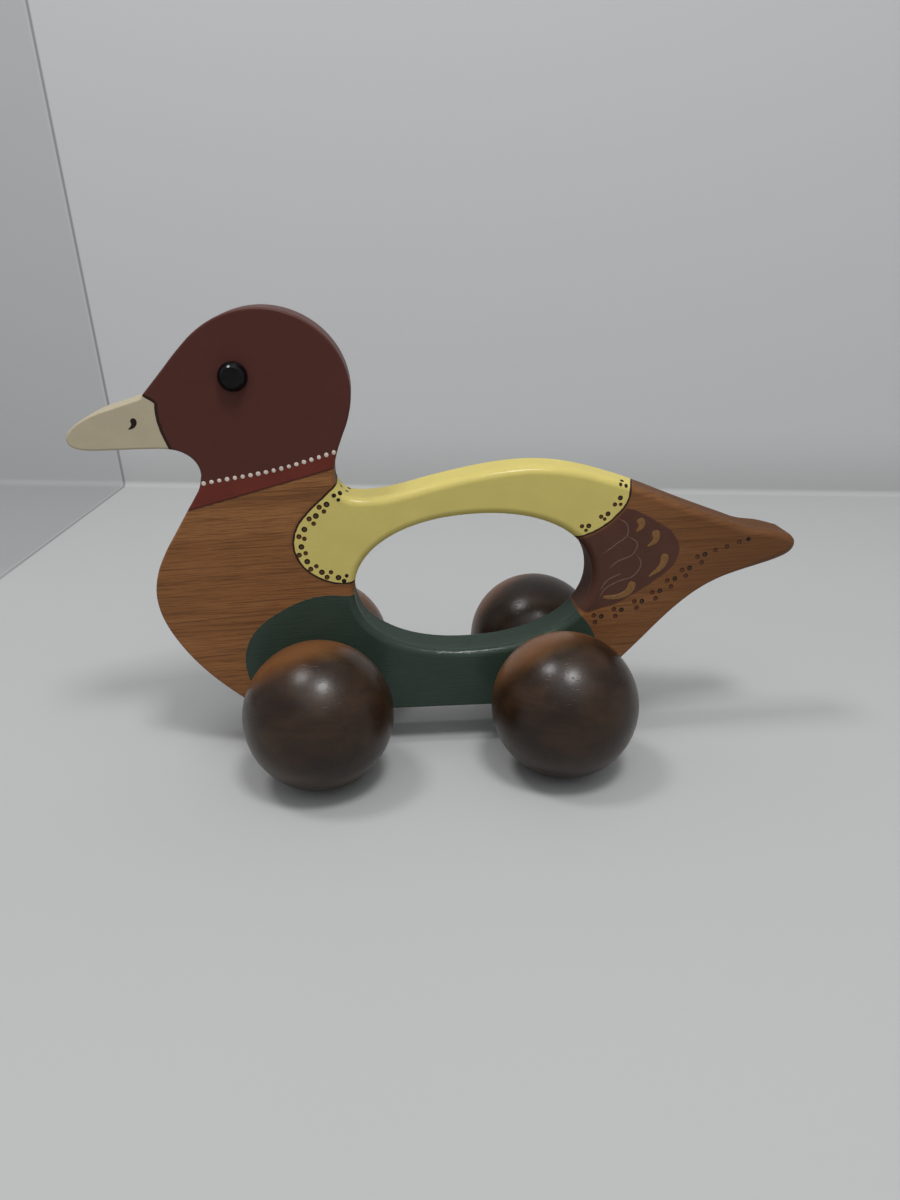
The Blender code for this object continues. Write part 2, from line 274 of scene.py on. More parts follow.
# Gloss and relief
BOARD_SPECULAR = 0.20
BALL_SPECULAR = 0.33
EYE_SPECULAR = 0.22
PAPER_SPECULAR = 0.15
VARNISH_ROUGHNESS = 0.42
WALL_ROUGHNESS = 0.75
DOT_ROUGHNESS = 0.70
PAINT_ROUGHNESS = 0.45
EDGE_DOT_ROUGHNESS = 0.50
PAPER_ROUGHNESS = 0.70
BALL_ROUGHNESS = (0.27, 0.34)
EYE_ROUGHNESS = (0.09, 0.15)
DOWEL_ROUGHNESS = (0.55, 0.72)
BOARD_BUMP = 0.00006
PAINT_BUMP = 0.00003
BALL_BUMP = 0.00004
EYE_BUMP = 0.00002
DOWEL_BUMP = 0.00005
BRUSH_RIDGES, GREEN_RIDGES, MOTTLE_RELIEF, INK_RELIEF = 0.5, 1.8, 2.0, 2.0  # shares of the board's bump

# Sizes of the spots in each pattern along X, Y and Z, and how strongly the patterns show
WOOD_BAND_CELL = (0.140, 0.020, 0.0065)
WOOD_RING_CELL = (0.170, 0.030, 0.0058)
WOOD_STREAK_CELL = (0.040, 0.0040, 0.00050)
WOOD_FIBRE_CELL = (0.010, 0.0010, 0.00034)
WOOD_PORE_CELL = (0.0085, 0.0006, 0.00026)
BRUSH_CELL = (0.016, 0.0016, 0.0007)
MOTTLE_CELL = (0.012,) * 3
WOBBLE_CELL = (0.0024,) * 3
PAINT_CELL = (0.0011,) * 3
WALNUT_CLOUD_CELL = (0.022, 0.016, 0.014)
WALNUT_RING_CELL = (0.040, 0.0100, 0.0026)
WALNUT_FIBRE_CELL = (0.010, 0.0010, 0.0005)
WALNUT_PIT_CELL = (0.0030, 0.0009, 0.0009)
WALNUT_RIPPLE_CELL = (0.0024,) * 3
PALE_CAP_CELL = (0.008,) * 3
HAZE_CELL = (0.0020,) * 3
DOWEL_CELL = (0.0010, 0.025, 0.0010)
PAPER_CELL = (0.25,) * 3
GRAIN_TILT = math.radians(2.5)
TAIL_SHADE = (0.03, 0.14)  # the wood darkens between these, along X
RING_STRENGTH = 0.45
STREAK_STRENGTH = 0.65
FIBRE_STRENGTH = 0.55
BRUSH_STRENGTH = 0.50
WALNUT_RING_STRENGTH = 0.45
WALNUT_FIBRE_STRENGTH = 0.35
PORE_STRENGTH = 0.45
TAIL_STRENGTH = 0.80
WALL_STRENGTH = 0.75
HALO_STRENGTH = 0.75
PIT_STRENGTH = 0.90
# Strength of the painted shadow along the left fold
FOLD_SHADOW_STRENGTH = 0.70
CLOUD_STRENGTH = 0.06
PAINT_EVENNESS = 0.82
PAPER_EVENNESS = 0.97
DOT_SOFTNESS = 0.00010
PIT_EDGE = (0.00045, 0.00075)  # in from a dot's edge

# Painted areas in the order they cover one another: colour, roughness, softness of the border, and how much
# of the colour is left in darker spots
PAINTS = {
    "band": (BAND_RED, 0.46, 0.00006, 0.85),
    "head": (MAROON, 0.46, 0.00006, 0.90),
    "beak": (CREAM, 0.46, 0.00006, 0.92),
    "wing": (PLUM, 0.40, 0.00030, 0.88),
    "green": (GREEN, 0.20, 0.00006, 0.88),
    "yellow": (YELLOW, 0.22, 0.00006, 0.93),
}
# Lines burnt along areas: depth of the middle in the area, width and strength
LINE_EDGE = (0.30, 0.60)  # shares of the width
BURNT_LINES = (
    ("yellow", -GROOVE_WIDTH / 2, GROOVE_WIDTH, 0.95),
    ("beak", -BEAK_LINE / 2, BEAK_LINE, 0.90),
    ("band", 0.0, BAND_LINE, 0.55),
)

# Light
SKY = (0.97, 0.985, 1.0)
SKY_LEVEL = 0.43
BRIGHT_LEVEL = 1.45  # of the sky high over the camera
BRIGHT_WAY = (0.03, -0.45, 0.89)
BRIGHT_ENDS = (0.76, 1.0)  # cosines from that way
LAMP_HEIGHT = 1.30
LAMPS = {"left": (-0.45, -0.05, 4.9), "right": (0.20, -0.51, 7.7)}  # x behind the front axle, y, watts
LAMP_SIZE = 0.28

LEFT, RIGHT = -1, 1


def on_board(places):
    """Measured places as (x, z) in the frame of the solids."""
    return np.array(places, float) + (front_axle.x, 0)


def unit(rows):
    return rows / np.linalg.norm(rows, axis=1)[:, None]


def flowing(places):
    """Points close together along a smooth curve through measured places."""
    points = on_board(places)
    chords = np.diff(points, axis=0)
    lengths = np.linalg.norm(chords, axis=1)
    ahead = chords / lengths[:, None]
    between = ahead[1:] * lengths[:-1, None] + ahead[:-1] * lengths[1:, None]
    tangents = unit(np.vstack([ahead[:1], between, ahead[-1:]]))
    curve = []
    for index, length in enumerate(lengths):
        start, end = points[index], points[index + 1]
        handles = start + tangents[index] * length / 3, end - tangents[index + 1] * length / 3
        steps = max(2, math.ceil(length / CURVE_SPACING))
        knots = (Vector(knot) for knot in (start, *handles, end))
        curve += [tuple(point) for point in interpolate_bezier(*knots, steps + 1)[:-1]]
    return np.array(curve + [tuple(points[-1])])


def along(curve, distances):
    """Points and directions at distances along a curve."""
    lengths = np.linalg.norm(np.diff(curve, axis=0), axis=1)
    reached = np.concatenate([[0], np.cumsum(lengths)])
    points, ways = [], []
    for distance in distances:
        index = min(max(int(np.searchsorted(reached, distance)) - 1, 0), len(lengths) - 1)
        way = (curve[index + 1] - curve[index]) / lengths[index]
        points.append(curve[index] + way * (distance - reached[index]))
        ways.append(way)
    return points, ways


def length_of(curve):
    return float(np.linalg.norm(np.diff(curve, axis=0), axis=1).sum())


def distance_to(points, curve):
    """Each point's distance to an open curve of straight steps."""
    best = np.full(len(points), np.inf)
    for start, end in zip(curve[:-1], curve[1:]):
        step = end - start
        share = np.clip(((points - start) @ step) / max(step @ step, LEAST_STEP), 0, 1)
        best = np.minimum(best, np.linalg.norm(points - start - share[:, None] * step, axis=1))
    return best


def is_inside(points, ring):
    inside = np.zeros(len(points), bool)
    for (x0, z0), (x1, z1) in zip(ring, np.roll(ring, -1, axis=0)):
        if z0 == z1:
            continue
        crosses = (z0 > points[:, 1]) != (z1 > points[:, 1])
        inside ^= crosses & (points[:, 0] < x0 + (x1 - x0) * (points[:, 1] - z0) / (z1 - z0))
    return inside


def depth_in(points, ring):
    """Distance to a closed ring's edge, above zero inside it."""
    closed = np.vstack([ring, ring[:1]])
    return np.where(is_inside(points, ring), 1, -1) * distance_to(points, closed)


class Rim:
    """One closed edge of the board: its points, the way into the wood, and the edge radius at each."""

    def __init__(self, points, edges, is_outer):
        self.points = points
        before, after = np.roll(points, 1, axis=0), np.roll(points, -1, axis=0)
        ways = unit(after - before)
        area = np.sum(before[:, 0] * points[:, 1] - points[:, 0] * before[:, 1])
        turn = 1 if (area > 0) == is_outer else -1
        self.inward = turn * np.column_stack([-ways[:, 1], ways[:, 0]])
        self.edges = edges


def rail_loops(mesh):
    """Closed loops of (x, z, edge radius), read from the walls that cross the board's middle plane."""
    places = np.round([vertex.co for vertex in mesh.vertices], 6)
    half = places[:, 1].max()
    edge_at, links = {}, set()
    for face in mesh.polygons:
        corners = places[list(face.vertices)]
        if abs(face.normal.y) < LEVEL_NORMAL and corners[:, 1].min() < 0 < corners[:, 1].max():
            edge_at.update({(x, z): half - abs(y) for x, y, z in corners})
            links.update(combinations(sorted({(x, z) for x, _, z in corners}), 2))
    rails = np.array(list(edge_at))
    beside = {rail: set() for rail in edge_at}
    for first, second in links:
        detour = np.linalg.norm(rails - first, axis=1) + np.linalg.norm(rails - second, axis=1)
        if np.sum(detour - math.dist(first, second) < DETOUR) == 2:
            beside[first].add(second)
            beside[second].add(first)
    loops = []
    while beside:
        loop = [next(iter(beside))]
        while onward := beside.pop(loop[-1]) & beside.keys():
            loop.append(min(onward))
        loops.append(np.array([(*rail, edge_at[rail]) for rail in loop]))
    return loops


def fine_rim(loop, is_outer):
    """The loop resampled on arcs through its points, with its corners and straight stretches kept."""
    places, edges = loop[:, :2], np.maximum(loop[:, 2], BORE_EDGE)
    chords = np.roll(places, -1, axis=0) - places
    lengths = np.linalg.norm(chords, axis=1)
    ahead = chords / lengths[:, None]
    behind, shorter = np.roll(ahead, 1, axis=0), np.roll(lengths, 1)
    smooth = unit(ahead * shorter[:, None] + behind * lengths[:, None])
    turns = np.arccos(np.clip(np.sum(ahead * behind, axis=1), -1, 1))
    arrives, leaves = smooth.copy(), smooth.copy()
    corner = turns > CORNER_TURN
    arrives[corner], leaves[corner] = behind[corner], ahead[corner]
    straight = lengths > STRAIGHT_CHORD
    for way in (arrives, leaves):
        way[straight] = ahead[straight]
        way[np.roll(straight, 1)] = behind[np.roll(straight, 1)]
    points, radii = [], []
    for i in range(len(places)):
        j = (i + 1) % len(places)
        turn = math.acos(np.clip(leaves[i] @ arrives[j], -1, 1))
        reach = lengths[i] / (3 * math.cos(turn / 4) ** 2)
        knots = places[i], places[i] + leaves[i] * reach, places[j] - arrives[j] * reach, places[j]
        steps = max(1, math.ceil(lengths[i] / RIM_SPACING))
        points += [tuple(p) for p in interpolate_bezier(*map(Vector, knots), steps + 1)[:-1]]
        radii += list(edges[i] + (edges[j] - edges[i]) * np.arange(steps) / steps)
    return Rim(np.array(points), np.array(radii), is_outer)


def beak_root():
    """The border between the beak and the head, from the top of the board to below it."""
    return np.vstack([flowing(BEAK_BROW), flowing(BEAK_CHEEK)])


def face_grid(rings):
    """Points in a triangular pattern over the board's face, clear of its edges."""
    low, high = rings[0].min(axis=0), rings[0].max(axis=0)
    rows = np.arange(low[1], high[1], FACE_SPACING * math.sqrt(3) / 2)
    points = np.array([
        (x + FACE_SPACING / 2 * (number % 2), z)
        for number, z in enumerate(rows)
        for x in np.arange(low[0], high[0], FACE_SPACING)
    ])
    return points[is_clear(points, rings, FACE_SPACING / 2)]


def is_clear(points, rings, gap):
    """Which points lie on the wood of the face, at least the gap from each edge."""
    clear = is_inside(points, rings[0])
    for ring in rings[1:]:
        clear &= ~is_inside(points, ring)
    for ring in rings:
        clear &= distance_to(points, np.vstack([ring, ring[:1]])) > gap
    return clear


def burnt_dots():
    """The dots burnt into the board as (x, z, radius): the dark ones, and the rusty ones."""
    dark, rust = [], []
    kinds = dark, rust, rust
    for clusters, radii in ((FRONT_CLUSTERS, FRONT_DOT_RADII), (REAR_CLUSTERS, REAR_DOT_RADII)):
        for cluster in clusters:
            for kind, (x, z), radius in zip(kinds, on_board(cluster), radii):
                kind.append((x, z, radius))
    trail = on_board(TAIL_TRIPLES)
    for place, way in zip(trail, np.gradient(trail, axis=0)):
        way /= np.linalg.norm(way)
        for kind, (ahead, aside) in zip(kinds, TRIPLE_DOTS):
            x, z = place + ahead * way + aside * np.array((-way[1], way[0]))
            kind.append((x, z, TAIL_DOT_RADIUS))
    singles = [(x, z, TAIL_DOT_RADIUS) for x, z in on_board(TAIL_SINGLES)]
    return np.array(dark + singles[:1]), np.array(rust + singles[1:])


def dimples(dots):
    """Points of the burnt dots, each with its depth and the slope of the dot's wall there."""
    points, depths, slopes = [], [], []
    ways = [(math.cos(a), math.sin(a)) for a in np.arange(BURN_SEGMENTS) * math.tau / BURN_SEGMENTS]
    for x, z, radius in dots:
        points.append((x, z))
        depths.append(BURN_DEPTH)
        slopes.append((0, 0))
        for share in BURN_RINGS:
            level = 1 - share * share
            slope = -4 * BURN_DEPTH / radius * share * level
            points += [(x + radius * share * across, z + radius * share * up) for across, up in ways]
            depths += [BURN_DEPTH * level * level] * len(ways)
            slopes += [(slope * across, slope * up) for across, up in ways]
    return np.array(points), np.array(depths), np.array(slopes)


def face_points(rings, dots):
    """Inner points of the face with their depths and slopes: a pattern, rows along borders, and dimples."""
    borders = COLLAR, BAND_EDGE, YELLOW_FRONT, YELLOW_REAR, GREEN_FRONT, GREEN_REAR, WING
    rows = [beak_root(), *map(flowing, borders)]
    border = []
    for row in rows:
        points, ways = along(row, np.arange(0, length_of(row), LINE_SPACING))
        for offset in (-LINE_SPACING, 0, LINE_SPACING):
            border += [p + offset * np.array((-way[1], way[0])) for p, way in zip(points, ways)]
    border = np.array(border)
    border = border[is_clear(border, rings, LINE_SPACING / 2)]
    grid = face_grid(rings)
    for row in rows:
        grid = grid[distance_to(grid, row) > 2 * LINE_SPACING]
    plain = np.vstack([border, grid])
    for x, z, radius in dots:
        plain = plain[np.hypot(plain[:, 0] - x, plain[:, 1] - z) > radius + BURN_CLEAR]
    sunk, depths, slopes = dimples(dots)
    points = np.vstack([plain, sunk])
    return points, np.append(np.zeros(len(plain)), depths), np.vstack([np.zeros((len(plain), 2)), slopes])


def board_mesh(name, rims, half, dots):
    """The whole board as one closed mesh, with the true normal at each point of its faces, dots and edges."""
    angles = np.linspace(0, math.pi / 2, RIM_STEPS + 1)
    places, normals, faces, face_rings = [], [], [], []
    for rim in rims:
        count = len(rim.points)
        first = len(places)
        for side, turns in ((LEFT, angles[::-1]), (RIGHT, angles)):
            for angle in turns:
                inset = rim.points + rim.inward * (rim.edges * (1 - math.cos(angle)))[:, None]
                depth = side * (half - rim.edges * (1 - math.sin(angle)))
                out = -rim.inward * math.cos(angle)
                aside = np.full(count, side * math.sin(angle))
                places += list(np.column_stack([inset[:, 0], depth, inset[:, 1]]))
                normals += list(np.column_stack([out[:, 0], aside, out[:, 1]]))
        rings = 2 * (RIM_STEPS + 1)
        for ring in range(rings - 1):
            a = first + ring * count
            for i in range(count):
                j = (i + 1) % count
                faces.append((a + i, a + j, a + count + j, a + count + i))
        face_rings.append((first, first + (rings - 1) * count, count))
    flat = [np.array([places[left + i][[0, 2]] for i in range(count)]) for left, _, count in face_rings]
    inner, depths, slopes = face_points(flat, dots)
    triangles = face_triangles(flat, inner)
    for side in (LEFT, RIGHT):
        first = len(places)
        places += list(np.column_stack([inner[:, 0], side * (half - depths), inner[:, 1]]))
        tilted = np.column_stack([slopes[:, 0], np.full(len(inner), side), slopes[:, 1]])
        normals += list(unit(tilted))
        lookup = []
        for left, right, count in face_rings:
            start = left if side == LEFT else right
            lookup += range(start, start + count)
        lookup += range(first, first + len(inner))
        faces += [tuple(lookup[corner] for corner in triangle) for triangle in triangles]
    mesh = bpy.data.meshes.new(name)
    mesh.from_pydata(places, [], faces)
    turn_outward(mesh)
    mesh.shade_smooth()
    mesh.normals_split_custom_set_from_vertices(normals)
    return mesh


def face_triangles(rings, inner):
    """Triangles over the face, as indices into the rings' points followed by the inner ones."""
    points = [Vector(point) for ring in rings for point in ring] + [Vector(point) for point in inner]
    edges, first = [], 0
    for ring in rings:
        edges += [(first + i, first + (i + 1) % len(ring)) for i in range(len(ring))]
        first += len(ring)
    made, _, triangles, sources, _, _ = delaunay_2d_cdt(points, edges, [], 0, TRIANGLE_GAP)
    middles = np.array([np.mean([made[corner] for corner in triangle], axis=0) for triangle in triangles])
    on_wood = is_inside(middles, rings[0])
    for ring in rings[1:]:
        on_wood &= ~is_inside(middles, ring)
    return [
        tuple(sources[corner][0] for corner in triangle)
        for triangle, kept in zip(triangles, on_wood)
        if kept
    ]


def turn_outward(mesh):
    bm = bmesh.new()
    bm.from_mesh(mesh)
    bmesh.ops.recalc_face_normals(bm, faces=bm.faces)
    bm.to_mesh(mesh)
    bm.free()


def store(mesh, name, values):
    mesh.attributes.new(name, "FLOAT", "POINT").data.foreach_set("value", np.asarray(values, np.float32))


def dot_depth(points, dots):
    """How far each point lies inside the nearest dot's edge, below zero outside."""
    depth = np.full(len(points), -1.0)
    for x, z, radius in dots:
        depth = np.maximum(depth, radius - np.hypot(points[:, 0] - x, points[:, 1] - z))
    return depth


def store_paint(mesh, half, dark, rust):
    """Writes how deep each point lies in each painted area and burnt dot."""
    co = np.array([vertex.co for vertex in mesh.vertices])
    places = co[:, [0, 2]]
    leaning = places.copy()
    leaning[:, 0] -= YELLOW_LEAN * (co[:, 1] + half) * (places[:, 0] > 0)
    outlines = {
        "beak": [beak_root(), on_board(BEAK_BEYOND)],
        "head": [flowing(COLLAR), on_board(HEAD_BEYOND)],
        "band": [flowing(BAND_EDGE), on_board(HEAD_BEYOND)],
        "green": [flowing(GREEN_FRONT), flowing(GREEN_REAR)],
        "wing": [flowing(WING)],
        "yellow": [flowing(YELLOW_FRONT), flowing(YELLOW_REAR), on_board(YELLOW_BEYOND)],
    }
    for area, curves in outlines.items():
        seen = leaning if area == "yellow" else places
        store(mesh, area, depth_in(seen, np.vstack(curves)))
    store(mesh, "wall", np.clip((half - np.abs(co[:, 1])) / WALL_START, 0, 1))
    store(mesh, "dark_dots", dot_depth(places, dark))
    store(mesh, "rust_dots", dot_depth(places, rust))


class Nodes:
    """A node tree with short ways to add to it."""

    def __init__(self, tree):
        self.tree = tree

    def add(self, kind, inputs=None, **settings):
        node = self.tree.nodes.new(kind)
        for name, value in settings.items():
            setattr(node, name, value)
        for key, value in (inputs or {}).items():
            self.feed(node.inputs[key], value)
        return node

    def feed(self, socket, value):
        if isinstance(value, bpy.types.NodeSocket):
            self.tree.links.new(value, socket)
        elif isinstance(value, tuple) and socket.type == "RGBA":
            socket.default_value = (*value, 1)
        else:
            socket.default_value = value

    def ramp(self, value, low, high, to_low=0.0, to_high=1.0):
        node = self.add("ShaderNodeMapRange", {
            "Value": value, "From Min": low, "From Max": high, "To Min": to_low, "To Max": to_high,
        }, interpolation_type="SMOOTHSTEP")
        return node.outputs["Result"]

    def reach(self, place, way):
        """How far a place lies along a way."""
        node = self.add("ShaderNodeVectorMath", {0: place, 1: way}, operation="DOT_PRODUCT")
        return node.outputs["Value"]


class Finish(Nodes):
    """A Principled material, with the node patterns that the finishes share."""

    def __init__(self, name, turn=(0, 0, 0), **constants):
        self.material = bpy.data.materials.new(name)
        self.material.use_nodes = True
        super().__init__(self.material.node_tree)
        self.shader = self.tree.nodes["Principled BSDF"]
        for socket, value in constants.items():
            self.feed(self.shader.inputs[socket.replace("_", " ").title().replace("Ior", "IOR")], value)
        place = self.add("ShaderNodeTexCoord").outputs["Object"]
        self.place = self.add("ShaderNodeMapping", {"Vector": place, "Rotation": turn}).outputs["Vector"]

    def set(self, socket, value):
        self.feed(self.shader.inputs[socket], value)

    def noise(self, cell, detail=2.0, roughness=0.5, distortion=0.0):
        """A smooth random value whose spots measure about the cell's size along each axis."""
        stretch = self.add(
            "ShaderNodeVectorMath", {0: self.place, 1: tuple(1 / size for size in cell)}, operation="MULTIPLY"
        )
        texture = self.add("ShaderNodeTexNoise", {
            "Vector": stretch.outputs["Vector"], "Scale": 1.0, "Detail": detail, "Roughness": roughness,
            "Distortion": distortion,
        })
        return texture.outputs["Fac"]

    def attribute(self, name):
        return self.add("ShaderNodeAttribute", attribute_name=name).outputs["Fac"]

    def math(self, operation, first, second=0.0):
        return self.add("ShaderNodeMath", {0: first, 1: second}, operation=operation).outputs["Value"]

    def colours(self, share, below, above):
        node = self.add("ShaderNodeMix", {0: share, 6: below, 7: above}, data_type="RGBA")
        return node.outputs[2]

    def values(self, share, below, above):
        node = self.add("ShaderNodeMix", {0: share, 2: below, 3: above}, data_type="FLOAT")
        return node.outputs[0]

    def bump(self, height, distance):
        node = self.add("ShaderNodeBump", {"Height": height, "Distance": distance, "Strength": 1.0})
        self.set("Normal", node.outputs["Normal"])


def bare_wood(finish):
    """Colour and pores of varnished wood with a long grain."""
    bands = finish.noise(WOOD_BAND_CELL, detail=3, distortion=0.4)
    rings = finish.noise(WOOD_RING_CELL, detail=2, roughness=0.4, distortion=0.3)
    off_ring = finish.math("ABSOLUTE", finish.math("SUBTRACT", rings, 0.5))
    lines = finish.ramp(off_ring, 0.003, 0.018, RING_STRENGTH, 0.0)
    streaks = finish.ramp(finish.noise(WOOD_STREAK_CELL, detail=2), 0.58, 0.65, 0.0, STREAK_STRENGTH)
    fibres = finish.noise(WOOD_FIBRE_CELL, detail=2, roughness=0.6)
    pores = finish.ramp(finish.noise(WOOD_PORE_CELL, detail=1), 0.58, 0.72)
    colour = finish.colours(finish.ramp(bands, 0.30, 0.70), WOOD_DARK, WOOD_LIGHT)
    ahead = finish.add("ShaderNodeSeparateXYZ", {0: finish.place}).outputs["X"]
    colour = finish.colours(finish.ramp(ahead, *TAIL_SHADE, 0.0, TAIL_STRENGTH), colour, WOOD_TAIL)
    colour = finish.colours(finish.math("MAXIMUM", lines, streaks), colour, WOOD_LINE)
    colour = finish.colours(finish.ramp(fibres, 0.42, 0.72, 0.0, FIBRE_STRENGTH), colour, WOOD_PORE)
    return finish.colours(finish.math("MULTIPLY", pores, PORE_STRENGTH), colour, WOOD_PORE), pores


def board_finish():
    """Varnished wood with painted areas, burnt lines and burnt dots."""
    finish = Finish("painted_board", turn=(0, GRAIN_TILT, 0), specular_ior_level=BOARD_SPECULAR)
    colour, pores = bare_wood(finish)
    walls = finish.attribute("wall")
    colour = finish.colours(finish.ramp(walls, 0.0, 1.0, 0.0, WALL_STRENGTH), colour, WOOD_WALL)
    brush = finish.noise(BRUSH_CELL, detail=3, roughness=0.6)
    mottle = finish.noise(MOTTLE_CELL, detail=4, roughness=0.6)
    wobble = finish.ramp(finish.noise(WOBBLE_CELL, detail=2), 0.2, 0.8, -BORDER_WOBBLE, BORDER_WOBBLE)
    depths, shares = {}, {}
    roughness = VARNISH_ROUGHNESS
    painted = 0.0
    for area, (paint, gloss, softness, evenness) in PAINTS.items():
        depths[area] = depth = finish.math("ADD", finish.attribute(area), wobble)
        shares[area] = share = finish.ramp(depth, -softness, softness)
        dim = dimmed(paint, evenness)
        shade = finish.colours(finish.ramp(mottle, 0.30, 0.70), dim, paint)
        shade = finish.colours(finish.ramp(brush, 0.35, 0.80, 0.0, BRUSH_STRENGTH), shade, dim)
        if area == "yellow":
            halo = finish.ramp(depth, -GROOVE_WIDTH - HALO_WIDTH, -GROOVE_WIDTH, 0.0, HALO_STRENGTH)
            colour = finish.colours(halo, colour, HALO)
        colour = finish.colours(share, colour, shade)
        roughness = finish.values(share, roughness, gloss)
        painted = finish.math("MAXIMUM", painted, share)
    ink = 0.0
    for area, middle, width, strength in BURNT_LINES:
        off = finish.math("ABSOLUTE", finish.math("SUBTRACT", depths[area], middle))
        edge = (share * width for share in LINE_EDGE)
        ink = finish.math("MAXIMUM", ink, finish.ramp(off, *edge, strength, 0.0))
    colour = finish.colours(ink, colour, BURNT)
    for dots, ring, pit in (("dark_dots", BURNT, BURNT_PIT), ("rust_dots", RUST, RUST_PIT)):
        depth = finish.attribute(dots)
        spot = finish.colours(finish.ramp(depth, *PIT_EDGE, 0.0, PIT_STRENGTH), ring, pit)
        share = finish.ramp(depth, 0.0, DOT_SOFTNESS)
        colour = finish.colours(share, colour, spot)
        roughness = finish.values(share, roughness, DOT_ROUGHNESS)
    finish.set("Base Color", colour)
    inner = finish.ramp(walls, 0.75, 1.0)
    finish.set("Roughness", finish.values(inner, roughness, WALL_ROUGHNESS))
    grain = finish.values(painted, pores, 0.0)
    ridges = finish.math("ADD", finish.math("MULTIPLY", shares["green"], GREEN_RIDGES), BRUSH_RIDGES)
    height = finish.math("SUBTRACT", finish.math("MULTIPLY", brush, ridges), grain)
    height = finish.math("ADD", height, finish.math("MULTIPLY", mottle, MOTTLE_RELIEF))
    height = finish.math("SUBTRACT", height, finish.math("MULTIPLY", ink, INK_RELIEF))
    finish.bump(height, BOARD_BUMP)
    return finish.material


def dimmed(colour, share):
    return tuple(part * share for part in colour)


def paint_finish(name, colour, roughness=PAINT_ROUGHNESS):
    """Thick paint laid with a small brush."""
    finish = Finish(name, roughness=roughness, specular_ior_level=BOARD_SPECULAR)
    spots = finish.noise(PAINT_CELL, detail=3)
    dim = dimmed(colour, PAINT_EVENNESS)
    finish.set("Base Color", finish.colours(finish.ramp(spots, 0.35, 0.65), dim, colour))
    finish.bump(spots, PAINT_BUMP)
    return finish.material


def walnut_finish():
    """Dark stained wood, paler on one side of each ball, towards the upper rim that the camera sees."""
    finish = Finish("walnut_ball", specular_ior_level=BALL_SPECULAR)
    clouds = finish.noise(WALNUT_CLOUD_CELL, detail=4, roughness=0.55, distortion=0.4)
    rings = finish.noise(WALNUT_RING_CELL, detail=3, roughness=0.5, distortion=0.5)
    fibres = finish.noise(WALNUT_FIBRE_CELL, detail=2, roughness=0.6)
    stain = finish.colours(finish.ramp(clouds, 0.32, 0.68), WALNUT_DARK, WALNUT_LIGHT)
    stain = finish.colours(finish.ramp(rings, 0.50, 0.75, 0.0, WALNUT_RING_STRENGTH), stain, WALNUT_DARK)
    stain = finish.colours(finish.ramp(fibres, 0.50, 0.80, 0.0, WALNUT_FIBRE_STRENGTH), stain, WALNUT_DARK)
    ragged = finish.ramp(finish.noise(PALE_CAP_CELL, detail=4), 0.2, 0.8, -PALE_CAP_WOBBLE, PALE_CAP_WOBBLE)
    pale = finish.ramp(finish.math("ADD", finish.attribute("pale_cap"), ragged), PALE_CAP_START, PALE_CAP_END)
    finish.set("Base Color", finish.colours(pale, stain, PALE_CAP))
    finish.set("Roughness", finish.ramp(clouds, 0.3, 0.7, *BALL_ROUGHNESS))
    pits = finish.ramp(finish.noise(WALNUT_PIT_CELL, detail=2), 0.63, 0.75)
    ripples = finish.noise(WALNUT_RIPPLE_CELL, detail=3)
    finish.bump(finish.math("SUBTRACT", ripples, pits), BALL_BUMP)
    return finish.material


def lacquer_finish():
    finish = Finish("black_lacquer", specular_ior_level=EYE_SPECULAR)
    haze = finish.noise(HAZE_CELL, detail=3)
    finish.set("Base Color", finish.colours(finish.ramp(haze, 0.4, 0.7), LACQUER, LACQUER_DULL))
    finish.set("Roughness", finish.ramp(haze, 0.3, 0.7, *EYE_ROUGHNESS))
    finish.bump(haze, EYE_BUMP)
    return finish.material


def dowel_finish():
    finish = Finish("bare_dowel")
    fibres = finish.noise(DOWEL_CELL, detail=3, roughness=0.6)
    finish.set("Base Color", finish.colours(finish.ramp(fibres, 0.3, 0.7), DOWEL_DARK, DOWEL_LIGHT))
    finish.set("Roughness", finish.ramp(fibres, 0.3, 0.7, *DOWEL_ROUGHNESS))
    finish.bump(fibres, DOWEL_BUMP)
    return finish.material


def floor_finish():
    """Matt paper, darker on the floor than on the wall, with painted shade past a fold on the left and a
    painted shadow along the fold.
    """
    finish = Finish("pale_paper", roughness=PAPER_ROUGHNESS, specular_ior_level=PAPER_SPECULAR)
    cloud = finish.noise(PAPER_CELL, detail=3)
    _, depth, height = finish.add("ShaderNodeSeparateXYZ", {0: finish.place}).outputs
    paper = finish.colours(finish.ramp(height, *WALL_FOOT), FLOOR_GREY, WALL_GREY)
    dim = dimmed(WALL_GREY, PAPER_EVENNESS)
    paper = finish.colours(finish.ramp(cloud, 0.35, 0.65, 0.0, CLOUD_STRENGTH), paper, dim)
    # Painted shade of a side panel past the fold on the left, on the floor and the wall
    past = finish.math("SUBTRACT", finish.reach(finish.place, FOLD_WAY), FOLD_PLACE - front_axle.x)
    begun = finish.ramp(depth, *FOLD_FADE)
    shaded_panel = finish.colours(finish.ramp(height, 0.0, COVE_RADIUS), SHADED_PANEL_FLOOR, SHADED_PANEL_WALL)
    paper = finish.colours(finish.math("MULTIPLY", begun, finish.ramp(past, *FOLD_EDGE)), paper, shaded_panel)
    # Painted shadow along the fold's line
    fold_shadow = finish.ramp(finish.math("ABSOLUTE", past), *FOLD_SHADOW_EDGE, FOLD_SHADOW_STRENGTH, 0.0)
    finish.set("Base Color", finish.colours(finish.math("MULTIPLY", begun, fold_shadow), paper, FOLD_SHADOW))
    return finish.material


def placed(name, data):
    """A new object in the scene."""
    obj = bpy.data.objects.new(name, data)
    bpy.context.scene.collection.objects.link(obj)
    return obj


def piece(name, mesh, body, material):
    """A new object of one material that rides on a body."""
    mesh.materials.append(material)
    obj = placed(name, mesh)
    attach(obj, body)
    return obj


